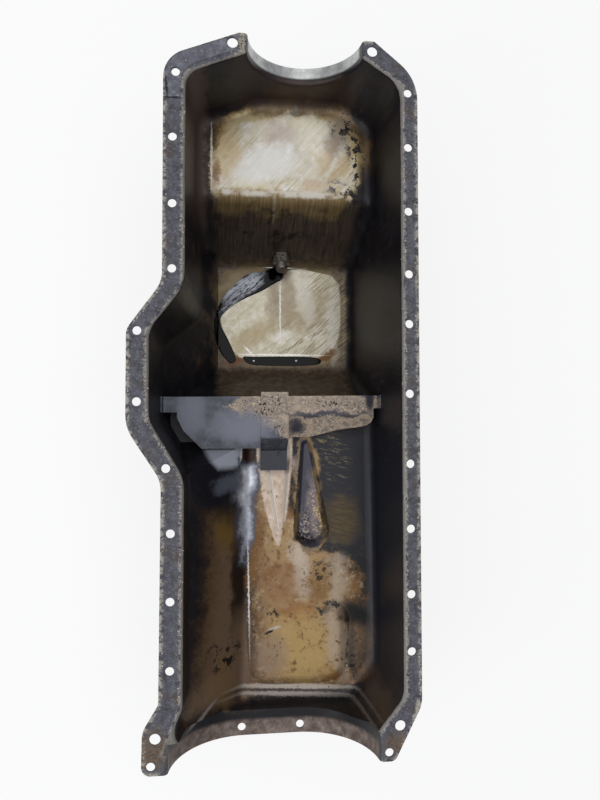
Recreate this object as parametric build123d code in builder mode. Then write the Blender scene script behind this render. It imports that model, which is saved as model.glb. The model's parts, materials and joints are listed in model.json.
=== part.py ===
from build123d import *
import os
from math import cos, hypot, radians, sin, tan

# Stamped steel oil pan for an in-line six, seen from its open side.
# Frame: +Z up out of the open side, +Y towards the rear main seal, gasket face at Z = 0,
# X = 0 midway between the two long rows of rail bolts, Y = 0 at mid length. Millimetres.

# ---- Driving dimensions -------------------------------------------------------------
sheet = 1.5               # steel thickness, the same all over the stamping
rail_bolt_x = 112.4       # the two long rows of rail bolts stand at -X and +X of this
rear_edge = 343.4         # ends of the seal saddles
front_edge = -341.5
wall_lean = 4.5           # degrees that the side walls lean in as they go down
mouth_bend = 4.0          # top surface radius where the rail turns down into the wall
floor_bend = 11.0         # inside radius where walls meet floors

# Plan corners of the hollow at the gasket face: X, Y, corner radius, and whether the
# corner turns out of the hollow (+1) or into it (-1).
hollow_corners = [
    (-100.6, 302.9, 20, 1),
    (-100.6, 102.3, 40, -1),
    (-132.9, 60.5, 30, 1),
    (-132.6, -22.5, 30, 1),
    (-100.4, -76.3, 40, -1),
    (-100.8, -284.0, 20, -1),
    (-117.5, -322.0, 18, 1),
    (73.5, -322.0, 18, 1),
    (104.9, -283.5, 25, 1),
    (105.4, 303.3, 30, 1),
    (63.0, 330.0, 25, 1),
    (-31.0, 330.0, 25, 1),
]
# Plan corners of the rail's outer edge: X, Y, corner radius.
rail_corners = [
    (-51.0, 343.4, 2.5),
    (-121.2, 316.1, 28),
    (-121.2, 104.6, 30),
    (-153.2, 60.5, 16),
    (-153.2, -29.6, 40),
    (-121.2, -78.2, 30),
    (-122.4, -279.5, 12),
    (-136.6, -302.5, 22),
    (-137.2, -341.5, 8.5),
    (95.5, -341.5, 7),
    (121.9, -290.5, 30),
    (121.9, 309.2, 45),
    (79.5, 343.4, 3),
]
# Floors and end slopes along the pan: Y, Z, bend radius.
rear_floor_z = -90.0
sump_floor_z = -185.0
slope_top = (217.0, rear_floor_z)
slope_foot = (165.0, sump_floor_z)
sump_front_foot = (37.0, sump_floor_z)
sump_front_top = (-5.0, -97.0)
floor_line = [
    (slope_top[0], slope_top[1], 16),
    (slope_foot[0], slope_foot[1], 14),
    (sump_front_foot[0], sump_front_foot[1], 14),
    (sump_front_top[0], sump_front_top[1], 16),
    (-400.0, -83.5, 0),
]
# The pump side of the sump slopes in below this depth (X, Z at its top and its foot).
pump_slope = [(-127.0, -85.0), (-72.0, sump_floor_z)]
# The front left of the floor climbs towards the wall from this line (X, Z) at 45 degrees.
relief_foot = (-36.0, -97.0)
relief_rear = -45.0       # Y where the climb's rear end, parallel to the sump's front wall,
                          # would reach the floor

# Front seal saddle: flat-bottomed arch, and its two cover bolts.
arch_x = -16.1
arch_half_flat = 26.9
arch_radius = 71.0
arch_depth = 67.5
arch_length = 27.0        # along Y, from the front edge to inside the hollow
arch_bolt_offset = 29.7
arch_bolt_y = -333.3
# Rear seal saddle: half round.
seal_x = 12.6
seal_radius = 55.6

small_bolt = 8.0          # clearance holes for 1/4 inch bolts
large_bolt = 10.0         # clearance holes for 5/16 inch bolts
left_row = [240.85, 178.25, 117.35, -126.2, -187.7, -249.65]
right_row = [294.35, 240.85, 178.25, 117.35, 69.15, 2.15, -64.65, -126.2, -187.7, -241.15]
shifted_bolts = [(-109.75, 302.25), (-116.85, -66.95)]   # left, out of the row's line
pump_bolts = [(-143.5, 59.25), (-143.5, -5.85)]
tip_bolts = [(-128.75, -333.35), (90.15, -333.35)]
ear_bolts_rear = [(-56.95, 333.4), (77.55, 333.4)]
ear_bolts_front = [(-125.05, -309.2), (100.75, -309.2)]

# Pressed shapes in the front floor. Each has the circles (X, Y, radius) that its flat tip
# is stretched around, the tip's Z, how far its sides lean in degrees, and the tip's bend.
strap_wedge = ([(-8.0, -56.0, 9.5), (-4.5, -138.0, 1.5)], -90.5, 50, 3.0)
channel = ([(24.0, -50.0, 2), (29.0, -139.0, 12.5)], -99.5, 45, 2.5)
front_pad = ([(-18.0, -244.0, 12), (46.0, -240.0, 12), (46.0, -282.0, 12), (-18.0, -282.0, 12)],
             -84.3, 68, 12.0)
press_height = 12.0       # of the blocks that press them, past the floor

# Baffle plate over the front edge of the sump: its flat part, the lip that hangs from its
# front edge on the right, and the tabs welded to the walls.
baffle_sheet = 1.2
baffle_z = -75.0          # top of the plate
baffle_flat = [
    (-112.5, 1.6),
    (94.0, 3.6),
    (94.0, -17.7),
    (3.5, -17.7),
    (3.5, -39.8),
    (-26.4, -39.8),
    (-26.4, -52.0),
    (-87.4, -52.0),
    (-106.0, -33.5),
    (-112.5, -20.0),
]
lip_crease = -17.7
lip_drop = 22.0           # degrees below the plate
lip_edge = [(3.5, -24.8), (26.0, -24.2), (53.0, -17.4), (74.0, -14.0), (86.0, -11.5)]
lip_corner = [(92.2, -7.0), (94.0, 0.0)]
tab_height = 10.0
left_tab = (-14.6, 1.6)   # Y of its ends
right_tab = (-10.0, 3.6)
flange_rise = 10.0        # of the sloping flange left of the plate, over flange_run
flange_run = 27.5

# Strap that crosses the plate and stands on the wedge.
strap_left = -25.9
strap_width = 28.6
strap_path = [(6.9, 0), (-41.5, 0), (-54.5, 1), (-76.0, 1)]   # Y, and 1 where it is down
strap_bend = 2.5
weld_spot = (-5.4, -58.5)
weld_diameter = 5.0
weld_depth = 0.6

# Gasket left on the rail.
gasket_thickness = 0.6
gasket_margin = 1.5       # from the rail's outer edge
gasket_clearance = 0.4    # radial, around the bolt holes
gasket_break = [          # what is left lies inside this outline
    (-140.0, 277.0),
    (-113.0, 275.5),
    (-104.0, 278.0),
    (-90.0, 278.0),
    (-52.0, 320.0),
    (-52.0, 360.0),
    (-140.0, 360.0),
]

# Drain plug in the sloping rear wall of the sump, and the shallow V in the floor before it.
drain_x = 3.0
trough_tip = 81.0         # Y where the V starts
trough_half_width = 16.5  # at the foot of the wall
trough_depth = 2.5        # at the foot of the wall
trough_lap = 4.0          # how far the block that cuts it stands above the floor
drain_height = -169.3     # Z where the plug's axis passes the inside of the wall
bung_flats = 19.0
bung_length = 11.5
plug_diameter = 12.7
thread_clearance = 0.03   # radial room between the plug's shank and the bung
plug_length = 23.0        # shank under the plug's collar
head_flats = 19.0
head_height = 8.0
collar_diameter = 24.0
collar_height = 2.0
washer_outer = 23.0
washer_thickness = 1.6

reach = 420.0             # half length of the blocks that trim other blocks
deep = 200.0


# ---- Helpers ------------------------------------------------------------------------
def flat_shape(corners, grow=0.0):
    """Face through the corners (u, v, radius), rounded, then grown on every side."""
    with BuildSketch() as shape:
        with BuildLine():
            Polyline([(u, v) for u, v, radius in corners], close=True)
        make_face()
        for u, v, radius in corners:
            if radius:
                fillet(shape.vertices().sort_by_distance((u, v, 0))[0], radius)
        if grow:
            offset(amount=grow, kind=Kind.INTERSECTION)
    return shape.sketch


def bar_along_x(corners, grow=0.0):
    """Bar across the pan with the Y, Z section given by the corners."""
    with BuildPart() as bar:
        with BuildSketch(Plane.YZ.offset(-reach)):
            add(flat_shape(corners, grow))
        extrude(amount=2 * reach)
    return bar.part


def bar_along_y(corners, grow=0.0, start=-reach, end=reach):
    """Bar along the pan from Y = start to end, with the X, Z section of the corners."""
    with BuildPart() as bar:
        with BuildSketch(Plane.XZ.offset(-end)):
            add(flat_shape(corners, grow))
        extrude(amount=end - start)
    return bar.part


def nearest_edges(part, points):
    """The edge nearest to each point."""
    return ShapeList(part.edges().sort_by_distance(point)[0] for point in points)


# ---- Inside of the pan --------------------------------------------------------------
def tub(grow):
    """The hollow's leaning walls, with rounded upright corners."""
    sharp = [(x, y, 0) for x, y, radius, turn in hollow_corners]
    with BuildPart() as walls:
        with BuildSketch():
            add(flat_shape(sharp, grow))
        extrude(amount=sump_floor_z - 5)
        uprights = walls.faces().filter_by(Axis.Z, reverse=True)
        uprights = uprights.filter_by(lambda face: abs(face.normal_at().Z) < 0.01)
        draft(uprights, neutral_plane=Plane.XY, angle=-wall_lean)
        for x, y, radius, turn in hollow_corners:
            leaning = walls.edges().filter_by(lambda edge: abs(edge.tangent_at(0.5).Z) > 0.7)
            fillet(leaning.sort_by_distance((x, y, 0))[0], radius + turn * grow)
    return walls.part


def relief(grow):
    """Block under the climbing front left floor."""
    foot_x, foot_z = relief_foot
    climb = [
        (foot_x + 60, foot_z - 60, 0),
        (foot_x - 220, foot_z - 60, 0),
        (foot_x - 220, foot_z + 220, 0),
    ]
    rear_lean = (sump_front_foot[0] - sump_front_top[0]) / (sump_front_top[1] - sump_front_foot[1])
    fall = [
        (relief_rear + rear_lean * foot_z, 0, 0),
        (relief_rear + rear_lean * (foot_z + deep), -deep, 0),
        (-reach, -deep, 0),
        (-reach, 0, 0),
    ]
    return bar_along_y(climb, -grow) & bar_along_x(fall, -grow)


def hollow(grow):
    """Walls, floors and slopes of the pan, all rounded where they meet."""
    (top_x, top_z), (foot_x, foot_z) = pump_slope
    run, fall = foot_x - top_x, foot_z - top_z
    under_slope = [
        (top_x - 0.4 * run, top_z - 0.4 * fall, 0),
        (foot_x + 0.4 * run, foot_z + 0.4 * fall, 0),
        (-deep, foot_z + 0.4 * fall, 0),
        (-deep, top_z - 0.4 * fall, 0),
    ]
    floors = [(reach, deep, 0), (reach, rear_floor_z, 0)] + floor_line + [(-reach, deep, 0)]
    with BuildPart() as body:
        add(tub(grow))
        add(bar_along_x(floors, grow), mode=Mode.INTERSECT)
        add(bar_along_y(under_slope, -grow), mode=Mode.SUBTRACT)
        add(relief(grow), mode=Mode.SUBTRACT)
        seams = [
            (14, 323, -90),
            (-88, 144, -155),
            (-98, -182, -35),
            (-41, -164, -92),
            (-65, -317, -68),
        ]
        fillet(nearest_edges(body, seams), floor_bend + grow)
    return body.part


def front_arch(grow):
    """Room over the front seal saddle, its two ends rounded where they meet the ears."""
    crown = arch_radius - arch_depth
    with BuildSketch() as section:
        with Locations((arch_x - arch_half_flat, crown), (arch_x + arch_half_flat, crown)):
            Circle(arch_radius + grow)
        with Locations((arch_x, crown)):
            Rectangle(2 * arch_half_flat, 2 * (arch_radius + grow))
        with Locations((arch_x, -grow)):
            Rectangle(reach, reach, align=(Align.CENTER, Align.MAX), mode=Mode.INTERSECT)
            Rectangle(reach, 30, align=(Align.CENTER, Align.MIN))
        ends = section.vertices().filter_by(lambda v: abs(v.Y + grow) < 0.01)
        fillet(ends.filter_by(lambda v: abs(v.X - arch_x) < 0.4 * reach), mouth_bend - grow)
    with BuildPart() as room:
        with BuildSketch(Plane.XZ.offset(-(front_edge + arch_length + grow))):
            add(section.sketch)
        extrude(amount=arch_length + grow + 5)
    return room.part


def rear_half_round(grow):
    """Room over the rear seal saddle."""
    with BuildPart() as room:
        with BuildSketch(Plane.XZ.offset(-(rear_edge + 5))):
            with Locations((seal_x, 0)):
                Circle(seal_radius + grow)
        extrude(amount=35)
        split(bisect_by=Plane.XY, keep=Keep.BOTTOM)
    return room.part


def round_hull(circles, grow):
    """Face stretched around circles (x, y, radius), each grown."""
    with BuildSketch() as shape:
        with BuildLine():
            for x, y, radius in circles:
                CenterArc((x, y), radius + grow, 0, 360)
        make_hull()
    return shape.sketch


def pressed(shape, way, grow):
    """Block that presses a shape: way is 1 for a sunk one, and -1 for a raised one.

    Its sides lean outwards from a rounded tip face.
    """
    circles, tip, lean, bend = shape
    side_grow = way * grow * (1 - sin(radians(lean))) / cos(radians(lean))
    with BuildPart() as block:
        with BuildSketch(Plane.XY.offset(tip - grow)):
            add(round_hull(circles, side_grow))
        with BuildSketch(Plane.XY.offset(tip - grow + way * press_height)):
            add(round_hull(circles, side_grow + press_height * tan(radians(lean))))
        loft(ruled=True)
        tip_face = block.faces().sort_by(Axis.Z)[0 if way > 0 else -1]
        fillet(tip_face.edges(), bend + way * grow)
    return block.part


def drain_trough(grow):
    """Room in the shallow V that leads down to the drain."""
    side = trough_lap * trough_half_width / trough_depth
    floor_z = sump_floor_z - grow
    with BuildPart() as trough:
        for y, share in [(trough_tip, 0), (slope_foot[0], 1)]:
            with BuildSketch(Plane.XZ.offset(-y)):
                with BuildLine():
                    Polyline(
                        (drain_x, floor_z - share * trough_depth),
                        (drain_x + side + share * trough_half_width, floor_z + trough_lap),
                        (drain_x - side - share * trough_half_width, floor_z + trough_lap),
                        close=True,
                    )
                make_face()
        loft(ruled=True)
    return trough.part


def room(grow):
    """Everything above the steel's surface, which lies grow below the pan's inside."""
    with BuildPart() as space:
        add(hollow(grow))
        add(rear_half_round(grow))
        with Locations((0, 0, -grow)):
            Box(2 * reach, 2 * reach, 30, align=(Align.CENTER, Align.CENTER, Align.MIN))
        rim = space.edges().filter_by(lambda edge: abs(edge.center().Z + grow) < 0.05)
        rim = rim.filter_by(lambda edge: abs(edge.center().X) < 200 and abs(edge.center().Y) < 342)
        seat = nearest_edges(space, [(15.6, 325.6, -55.5)])
        fillet(rim + seat, mouth_bend - grow)
        add(front_arch(grow))
        add(pressed(strap_wedge, -1, grow), mode=Mode.SUBTRACT)
        add(pressed(front_pad, -1, grow), mode=Mode.SUBTRACT)
        add(pressed(channel, 1, grow))
        add(drain_trough(grow))
    return space.part


def wall_tabs(inside):
    """The two baffle tabs that lie on the leaning walls."""
    left_start, left_stop = left_tab
    right_start, right_stop = right_tab
    with BuildPart() as tabs:
        with Locations((-reach / 2, left_start, baffle_z + flange_rise / 2 - baffle_sheet)):
            Box(reach / 2, left_stop - left_start, tab_height, align=Align.MIN)
        with Locations((0, right_start, baffle_z - baffle_sheet)):
            Box(reach / 2, right_stop - right_start, tab_height, align=Align.MIN)
        add(inside - tub(-baffle_sheet), mode=Mode.INTERSECT)
    return tabs.part


def hexagon(plane, flats, height):
    """Hexagonal block standing on a plane, the corners of its far end bevelled."""
    with BuildPart() as block:
        with BuildSketch(plane):
            RegularPolygon(flats / 2, 6, major_radius=False)
        extrude(amount=height)
        with Locations(plane):
            Cone(
                flats / 2 + height * tan(radians(60)),
                flats / 2 - 0.3,
                height,
                align=(Align.CENTER, Align.CENTER, Align.MIN),
                mode=Mode.INTERSECT,
            )
    return block.part


# ---- Pan shell ----------------------------------------------------------------------
left_bolts = [(-rail_bolt_x, y) for y in left_row]
right_bolts = [(rail_bolt_x, y) for y in right_row]
small_holes = left_bolts + right_bolts + shifted_bolts + pump_bolts + tip_bolts
large_holes = ear_bolts_rear + ear_bolts_front
arch_holes = [(arch_x - arch_bolt_offset, arch_bolt_y), (arch_x + arch_bolt_offset, arch_bolt_y)]

wall_run = (slope_foot[0] - slope_top[0]) / (slope_foot[1] - slope_top[1])
drain_y = slope_top[0] + wall_run * (drain_height - slope_top[1])
slope_length = hypot(slope_foot[0] - slope_top[0], slope_foot[1] - slope_top[1])
inward = (
    0,
    (slope_foot[1] - slope_top[1]) / slope_length,
    -(slope_foot[0] - slope_top[0]) / slope_length,
)
drain_plane = Plane(origin=(drain_x, drain_y, drain_height), x_dir=(1, 0, 0), z_dir=inward)

with BuildPart() as pan_shell:
    with BuildSketch(Plane.XY.offset(-deep)):
        add(flat_shape(rail_corners))
    extrude(amount=deep)
    add(room(sheet), clean=False, mode=Mode.INTERSECT)
    add(room(0), clean=False, mode=Mode.SUBTRACT)
    with Locations(*[(x, y, 0) for x, y in small_holes]):
        Cylinder(small_bolt / 2, 10, mode=Mode.SUBTRACT)
    with Locations(*[(x, y, 0) for x, y in large_holes]):
        Cylinder(large_bolt / 2, 10, mode=Mode.SUBTRACT)
    with Locations(*[(x, y, -arch_depth) for x, y in arch_holes]):
        Cylinder(small_bolt / 2, 12, mode=Mode.SUBTRACT)
    with Locations(drain_plane):
        Cylinder(plug_diameter / 2 + thread_clearance, 12, mode=Mode.SUBTRACT)
pan_shell.part.label = "pan_shell"

# ---- Old gasket stuck to the rear left of the rail ----------------------------------
with BuildPart() as gasket_remnant:
    with BuildSketch():
        add(flat_shape(rail_corners))
        offset(amount=-gasket_margin)
        add(
            flat_shape([(x, y, radius) for x, y, radius, turn in hollow_corners], mouth_bend + 1.2),
            mode=Mode.SUBTRACT,
        )
        with BuildLine():
            Polyline(gasket_break, close=True)
        make_face(mode=Mode.INTERSECT)
    extrude(amount=gasket_thickness)
    with Locations(shifted_bolts[0]):
        Cylinder(small_bolt / 2 + gasket_clearance, 10, mode=Mode.SUBTRACT)
    with Locations(ear_bolts_rear[0]):
        Cylinder(large_bolt / 2 + gasket_clearance, 10, mode=Mode.SUBTRACT)
gasket_remnant.part.label = "gasket_remnant"

# ---- Baffle over the front of the sump ----------------------------------------------
left_end = baffle_flat[0][0]
right_end = baffle_flat[1][0]
lip_plane = Plane(
    origin=(0, lip_crease, baffle_z),
    x_dir=(1, 0, 0),
    z_dir=(0, -sin(radians(lip_drop)), cos(radians(lip_drop))),
)
inside = tub(0)
with BuildPart() as baffle_plate:
    with BuildSketch(Plane.XY.offset(baffle_z)):
        with BuildLine():
            Polyline(baffle_flat, close=True)
        make_face()
        with Locations((right_end - 1, right_tab[0])):
            Rectangle(20, right_tab[1] - right_tab[0], align=Align.MIN)
    extrude(amount=-baffle_sheet)
    with BuildSketch(lip_plane):
        with BuildLine():
            Line((lip_edge[0][0], 0), lip_edge[0])
            Spline(lip_edge, tangents=[(1, 0.02), (1, 0.35)])
            ThreePointArc(lip_edge[-1], *lip_corner)
            Line(lip_corner[-1], (lip_edge[0][0], 0))
        make_face()
    extrude(amount=-baffle_sheet)
    with BuildSketch(Plane.XZ.offset(-left_tab[1])):
        with BuildLine():
            Polyline(
                (left_end + 1, baffle_z),
                (left_end, baffle_z),
                (left_end - flange_run, baffle_z + flange_rise),
                (left_end - flange_run, baffle_z + flange_rise - baffle_sheet),
                (left_end, baffle_z - baffle_sheet),
                (left_end + 1, baffle_z - baffle_sheet),
                close=True,
            )
        make_face()
    extrude(amount=left_tab[1] - left_tab[0])
    add(inside, mode=Mode.INTERSECT)
    add(wall_tabs(inside))
baffle_plate.part.label = "baffle_plate"

# ---- Strap across the baffle --------------------------------------------------------
wedge_z = strap_wedge[1]
strap_drop = wedge_z - baffle_z
with BuildPart() as baffle_strap:
    with BuildSketch(Plane.YZ.offset(strap_left)):
        with BuildLine():
            FilletPolyline(
                [(y, baffle_z + baffle_sheet / 2 + strap_drop * down) for y, down in strap_path],
                radius=strap_bend,
            )
        trace(line_width=baffle_sheet)
    extrude(amount=strap_width)
    with Locations((*weld_spot, wedge_z + baffle_sheet - weld_depth + weld_diameter)):
        Sphere(weld_diameter, mode=Mode.SUBTRACT)
baffle_strap.part.label = "baffle_strap"

# ---- Drain bung, plug and washer ----------------------------------------------------
with BuildPart() as drain_bung:
    add(hexagon(drain_plane, bung_flats, bung_length))
    with Locations(drain_plane):
        Cylinder(plug_diameter / 2 + thread_clearance, 3 * bung_length, mode=Mode.SUBTRACT)
drain_bung.part.label = "drain_bung"

outside = drain_plane.offset(-sheet)
with BuildPart() as drain_plug_washer:
    with BuildSketch(outside):
        Circle(washer_outer / 2)
        Circle(plug_diameter / 2 + thread_clearance, mode=Mode.SUBTRACT)
    extrude(amount=-washer_thickness)
drain_plug_washer.part.label = "drain_plug_washer"

under_washer = outside.offset(-washer_thickness)
under_collar = under_washer.offset(-collar_height)
with BuildPart() as drain_plug:
    with BuildSketch(under_washer):
        Circle(plug_diameter / 2)
    extrude(amount=plug_length)
    chamfer(drain_plug.faces().sort_by(Axis(drain_plane.origin, drain_plane.z_dir))[-1].edges(), 1.2)
    with BuildSketch(under_collar):
        Circle(collar_diameter / 2)
    extrude(amount=collar_height)
    add(hexagon(Plane(under_collar.origin, under_collar.x_dir, -under_collar.z_dir), head_flats, head_height))
drain_plug.part.label = "drain_plug"

os.makedirs("parts", exist_ok=True)
export_step(pan_shell.part, "parts/pan_shell.step")
export_step(gasket_remnant.part, "parts/gasket_remnant.step")
export_step(baffle_plate.part, "parts/baffle_plate.step")
export_step(baffle_strap.part, "parts/baffle_strap.step")
export_step(drain_bung.part, "parts/drain_bung.step")
export_step(drain_plug_washer.part, "parts/drain_plug_washer.step")
export_step(drain_plug.part, "parts/drain_plug.step")
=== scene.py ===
# %% [markdown]
# # A used oil pan, seen from its open side
#
# The pan is one steel stamping with a welded baffle and a drain plug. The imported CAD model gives
# every shape and place in metres. This lesson adds the finish: steel stained by years of hot oil,
# varnish and black sludge, crumbs of gasket on the rail, and the last oil in the sump.

import json
import math

import bmesh
import bpy
from mathutils import Matrix, Vector
from mathutils.bvhtree import BVHTree


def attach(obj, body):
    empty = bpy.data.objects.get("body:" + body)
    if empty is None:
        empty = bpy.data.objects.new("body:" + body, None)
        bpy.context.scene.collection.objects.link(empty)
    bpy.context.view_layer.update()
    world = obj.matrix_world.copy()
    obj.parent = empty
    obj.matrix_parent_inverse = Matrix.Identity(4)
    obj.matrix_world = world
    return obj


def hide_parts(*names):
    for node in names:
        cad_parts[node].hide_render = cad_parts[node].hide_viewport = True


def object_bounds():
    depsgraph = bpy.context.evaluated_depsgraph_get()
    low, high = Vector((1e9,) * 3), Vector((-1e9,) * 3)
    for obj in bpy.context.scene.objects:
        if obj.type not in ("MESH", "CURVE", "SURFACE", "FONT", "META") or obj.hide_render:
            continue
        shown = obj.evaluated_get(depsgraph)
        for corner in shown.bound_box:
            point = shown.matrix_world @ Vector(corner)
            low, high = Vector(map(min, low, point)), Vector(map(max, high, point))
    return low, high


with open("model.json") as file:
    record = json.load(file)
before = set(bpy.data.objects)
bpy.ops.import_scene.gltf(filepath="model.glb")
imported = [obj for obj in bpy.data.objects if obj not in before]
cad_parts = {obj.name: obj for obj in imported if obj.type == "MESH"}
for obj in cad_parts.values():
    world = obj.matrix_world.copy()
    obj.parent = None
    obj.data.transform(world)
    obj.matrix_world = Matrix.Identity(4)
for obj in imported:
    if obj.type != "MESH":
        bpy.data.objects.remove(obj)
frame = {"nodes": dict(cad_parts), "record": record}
cad_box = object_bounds()
nodes = frame["nodes"]
print("nodes:", sorted(nodes))


# %% [markdown]
# ## Tools for node materials
#
# Every finish below is a tree of shader nodes. One small function adds a node with its settings
# and links, and another turns the hex colours that painters use into Blender's linear values.

# %% Colour and node helpers
def linear(hex_colour):
    """An sRGB hex colour as linear RGBA."""
    parts = [int(hex_colour[i : i + 2], 16) / 255 for i in (1, 3, 5)]
    return [c / 12.92 if c <= 0.04045 else ((c + 0.055) / 1.055) ** 2.4 for c in parts] + [1.0]


def add(tree, kind, inputs=None, **settings):
    """Adds a node and returns its outputs; inputs are values or sockets, by name or number."""
    node = tree.nodes.new(kind)
    for key, value in settings.items():
        setattr(node, key, value)
    for key, value in (inputs or {}).items():
        if isinstance(value, bpy.types.NodeSocket):
            tree.links.new(value, node.inputs[key])
        else:
            node.inputs[key].default_value = value
    return node.outputs


def maths(tree, operation, *values):
    """One step of arithmetic on numbers and sockets."""
    return add(tree, "ShaderNodeMath", dict(enumerate(values)), operation=operation)[0]


def empty_tree(owner):
    """The node tree of a material or a world, without its nodes."""
    owner.use_nodes = True
    owner.node_tree.nodes.clear()
    return owner.node_tree


def placed(name, data):
    """A new object in the scene."""
    thing = bpy.data.objects.new(name, data)
    bpy.context.scene.collection.objects.link(thing)
    return thing


# %% [markdown]
# ## Floor, light and camera
#
# A soft studio: one large lamp overhead, a weaker one from the side so that the walls are read,
# and a pale world. The floor shows white to the camera and in reflections, and still takes a
# little of the pan's shadow. The lamps are set so that a grey card on the rail renders about as
# its colour is written.

# %% Studio
FLOOR_SIDE = 40.0          # metres, so that no view sees its end
GLOW_SHARE = 0.8           # how far the floor is white by itself; the rest takes the shadow
SKY_SEEN, SKY_LIGHT = 1.1, 0.36     # strength of the world for the camera, and as a light


def make_floor(height):
    side = FLOOR_SIDE
    corners = [(-side, -side), (side, -side), (side, side), (-side, side)]
    mesh = bpy.data.meshes.new("floor")
    mesh.from_pydata([(x, y, height) for x, y in corners], [], [(0, 1, 2, 3)])
    floor = placed("floor", mesh)
    material = bpy.data.materials.new("matt_white_backdrop")
    tree = empty_tree(material)
    rays = add(tree, "ShaderNodeLightPath")
    seen = maths(tree, "MAXIMUM", rays["Is Camera Ray"], rays["Is Glossy Ray"])
    seen = maths(tree, "MAXIMUM", seen, rays["Is Transmission Ray"])
    share = maths(tree, "MULTIPLY", seen, GLOW_SHARE)
    paint = add(tree, "ShaderNodeBsdfDiffuse", {"Color": linear("#f4f4f4")})
    glow = add(tree, "ShaderNodeEmission", {"Color": (1, 1, 1, 1), "Strength": 1.0})
    mixed = add(tree, "ShaderNodeMixShader", {0: share, 1: paint[0], 2: glow[0]})
    add(tree, "ShaderNodeOutputMaterial", {"Surface": mixed[0]})
    mesh.materials.append(material)


def make_lamp(name, place, aim, size, power):
    data = bpy.data.lights.new(name, "AREA")
    data.shape = "DISK"
    data.size = size
    data.energy = power
    lamp = placed(name, data)
    lamp.location = place
    lamp.rotation_euler = (Vector(aim) - Vector(place)).to_track_quat("-Z", "Y").to_euler()


make_floor(cad_box[0][2] - 0.002)
make_lamp("overhead_softbox", (0.0, 0.2, 1.6), (0, 0, -0.1), 2.6, 22)
make_lamp("side_softbox", (-1.1, -0.5, 0.9), (0, 0, -0.1), 0.9, 6)
world = bpy.data.worlds.new("pale_studio")
sky = empty_tree(world)
seen = add(sky, "ShaderNodeLightPath")["Is Camera Ray"]
strength = add(sky, "ShaderNodeMapRange", {0: seen, 3: SKY_LIGHT, 4: SKY_SEEN})[0]
pale = add(sky, "ShaderNodeBackground", {"Color": linear("#eef1f6"), "Strength": strength})
add(sky, "ShaderNodeOutputWorld", {"Surface": pale[0]})
bpy.context.scene.world = world
bpy.context.scene.view_settings.view_transform = "Standard"

# %% Camera
CAMERA_PLACE = (-0.06225, -0.02515, 0.59985)
CAMERA_TURN = (-6.54, 2.00, 0.13)   # degrees: sideways, nodding, rolling
FRAME_HEIGHT_PX = 800
FOCAL_PX = 645

camera_data = bpy.data.cameras.new("camera")
camera_data.sensor_width = 36
camera_data.lens = camera_data.sensor_width * FOCAL_PX / FRAME_HEIGHT_PX
camera_data.clip_start = 0.01
camera = placed("camera", camera_data)
sideways, nod, roll = (math.radians(a) for a in CAMERA_TURN)
turn = Matrix.Rotation(roll, 4, "Z") @ Matrix.Rotation(nod, 4, "X")
turn = turn @ Matrix.Rotation(sideways, 4, "Y")
camera.matrix_world = Matrix.Translation(CAMERA_PLACE) @ turn
bpy.context.scene.camera = camera


# %% [markdown]
# ## The painter's tools for stains and painted light
#
# Oil stains have a place of their own on the pan, so they are painted in the pan's own
# millimetres instead of being left to chance. A stain, or a painted highlight or shadow, is an
# ellipse with a soft edge. A field is a larger area between a left and a right edge, each a curve
# along the pan's length. Noise bends both, so no edge looks drawn. Each film of oil, varnish or
# bare metal, and each painted highlight or shadow, is laid over the ones below, with its own
# colour, gloss and share of bare metal.

# %% Millimetres, and the noises that every finish shares
def start_finish(name):
    """A new material: its tree, the place in mm, two wandering copies of it, shared noises."""
    material = bpy.data.materials.new(name)
    tree = empty_tree(material)
    place = add(tree, "ShaderNodeTexCoord")["Object"]
    place = add(tree, "ShaderNodeVectorMath", {0: place, "Scale": 1000.0}, operation="SCALE")[0]
    parts = add(tree, "ShaderNodeSeparateXYZ", {0: place})
    kit = {"tree": tree, "material": material, "place": place, "x": parts[0], "y": parts[1],
           "z": parts[2], "mm": (parts[0], parts[1])}
    sizes = {"cloud": (22, 5.0, 0.62), "mottle": (8, 4.0, 0.7), "speckle": (2.4, 3.0, 0.7),
             "grain": (0.6, 1.0, 0.5)}          # mm, detail, roughness
    kit["drift"] = kit["mm"]
    for noise, (size, detail, roughness) in sizes.items():
        texture = add(tree, "ShaderNodeTexNoise", {
            "Vector": place, "Scale": 1.0 / size, "Detail": detail, "Roughness": roughness})
        kit[noise] = texture[0]
        if noise in ("cloud", "speckle"):
            push = add(tree, "ShaderNodeSeparateColor", {0: texture[1]})
            for ground, start, reach in (("drift", "drift", size + 2.0), ("waver", "mm", 4.0)):
                kit[ground] = [maths(tree, "MULTIPLY_ADD", push[n], reach, kit[start][n])
                               for n in (0, 1)]
    middle = 0.5 * (sizes["cloud"][0] + sizes["speckle"][0] + 4.0)
    for ground, back in (("drift", middle), ("waver", 2.0)):
        kit[ground] = [maths(tree, "SUBTRACT", part, back) for part in kit[ground]]
    return kit


def streaks(kit, size, turn=0.0, detail=3.0):
    """Noise drawn out into streaks: size in mm along X, Y and Z, then turned in degrees."""
    mapped = add(kit["tree"], "ShaderNodeMapping", {
        "Vector": kit["place"], "Rotation": (0, 0, math.radians(turn)), "Scale": size},
        vector_type="TEXTURE")
    return add(kit["tree"], "ShaderNodeTexNoise", {"Vector": mapped[0], "Scale": 1.0,
                                                   "Detail": detail, "Roughness": 0.6})[0]


def above(kit, noise, low, high):
    """1 where a noise, or a named one of the finish, is over high; 0 where it is under low."""
    noise = kit[noise] if isinstance(noise, str) else noise
    return add(kit["tree"], "ShaderNodeMapRange", {0: noise, 1: low, 2: high},
               interpolation_type="SMOOTHSTEP")[0]


def both(kit, *shares):
    """The product of some shares."""
    product = shares[0]
    for share in shares[1:]:
        product = maths(kit["tree"], "MULTIPLY", product, share)
    return product


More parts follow.
